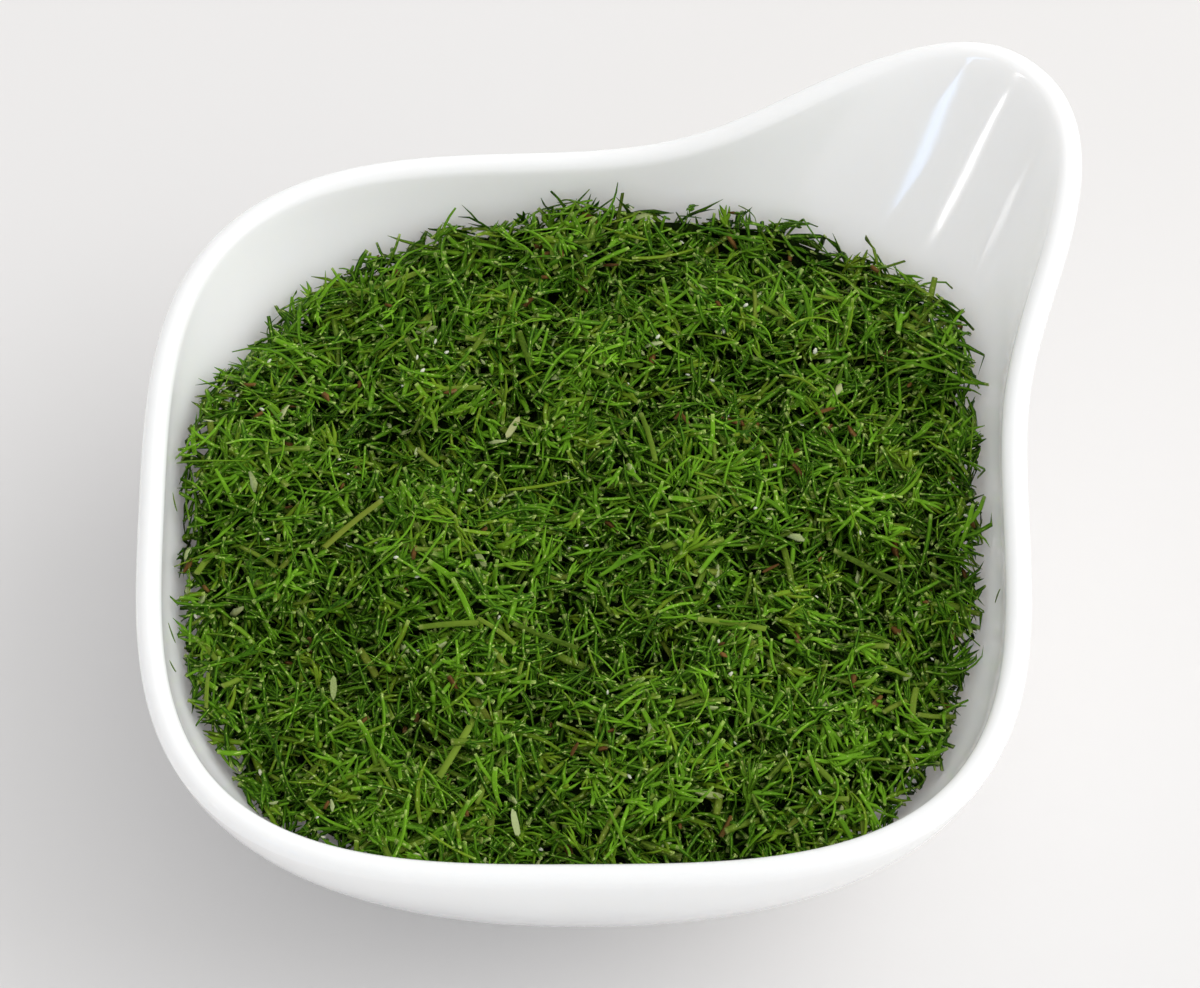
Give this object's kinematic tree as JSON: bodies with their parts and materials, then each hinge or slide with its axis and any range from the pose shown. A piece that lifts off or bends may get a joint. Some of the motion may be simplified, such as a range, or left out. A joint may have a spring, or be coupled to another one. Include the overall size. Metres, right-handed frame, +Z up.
{
  "type": "dish of chopped dill",
  "caption": "Small white porcelain tasting dish, rounded square, with one corner raised into a handle, filled with finely chopped fresh dill.",
  "frame": {"origin": "under the middle of the dish's box in plan, on the surface that the foot ring stands on", "axes": "+Z up; the dish's straight sides lie along X and Y, and the handle points to +X +Y"},
  "size_m": [0.0966, 0.0966, 0.0435],
  "materials": {
    "glazed_porcelain": "glossy white glaze",
    "dill_green": "fresh chopped leaf, satin",
    "leaf_green": "fresh leaf, satin",
    "stem_olive": "cut stem, satin",
    "pale_flake": "dry pale flake, matte",
    "brown_bit": "dried brown bit, matte",
    "strand_green": "thin leaf strand, satin"
  },
  "bodies": {
    "root": {"brown_bit_01": "brown_bit", "brown_bit_02": "brown_bit", "brown_bit_03": "brown_bit", "brown_bit_04": "brown_bit", "dill_heap": "dill_green", "dish": "glazed_porcelain", "leaf_fork_01": "leaf_green", "leaf_fork_02": "leaf_green", "leaf_fork_03": "leaf_green", "leaf_fork_04": "leaf_green", "leaf_fork_05": "leaf_green", "leaf_fork_06": "leaf_green", "leaf_fork_07": "leaf_green", "leaf_fork_08": "leaf_green", "leaf_fork_09": "leaf_green", "leaf_fork_10": "leaf_green", "leaf_fork_11": "leaf_green", "leaf_fork_12": "leaf_green", "leaf_fork_13": "leaf_green", "leaf_fork_14": "leaf_green", "long_needle_01": "leaf_green", "long_needle_02": "leaf_green", "long_needle_03": "leaf_green", "long_needle_04": "leaf_green", "long_needle_05": "leaf_green", "long_needle_06": "leaf_green", "long_needle_07": "leaf_green", "long_needle_08": "leaf_green", "long_needle_09": "leaf_green", "long_needle_10": "leaf_green", "long_needle_11": "leaf_green", "long_needle_12": "leaf_green", "long_needle_13": "leaf_green", "long_needle_14": "leaf_green", "pale_flake_01": "pale_flake", "pale_flake_02": "pale_flake", "pale_flake_03": "pale_flake", "pale_flake_04": "pale_flake", "pale_flake_05": "pale_flake", "pale_flake_06": "pale_flake", "pale_flake_07": "pale_flake", "pale_flake_08": "pale_flake", "stem_slice_01": "stem_olive", "stem_slice_02": "stem_olive", "stem_slice_03": "stem_olive", "stem_slice_04": "stem_olive", "stem_slice_05": "stem_olive", "stem_slice_06": "stem_olive", "stem_slice_07": "stem_olive", "stem_slice_08": "stem_olive", "stem_slice_09": "stem_olive", "stem_slice_10": "stem_olive", "stem_slice_11": "stem_olive", "stem_slice_12": "stem_olive", "wall_strand_01": "strand_green", "wall_strand_02": "strand_green", "wall_strand_03": "strand_green", "wall_strand_04": "strand_green"}
  },
  "joints": []
}
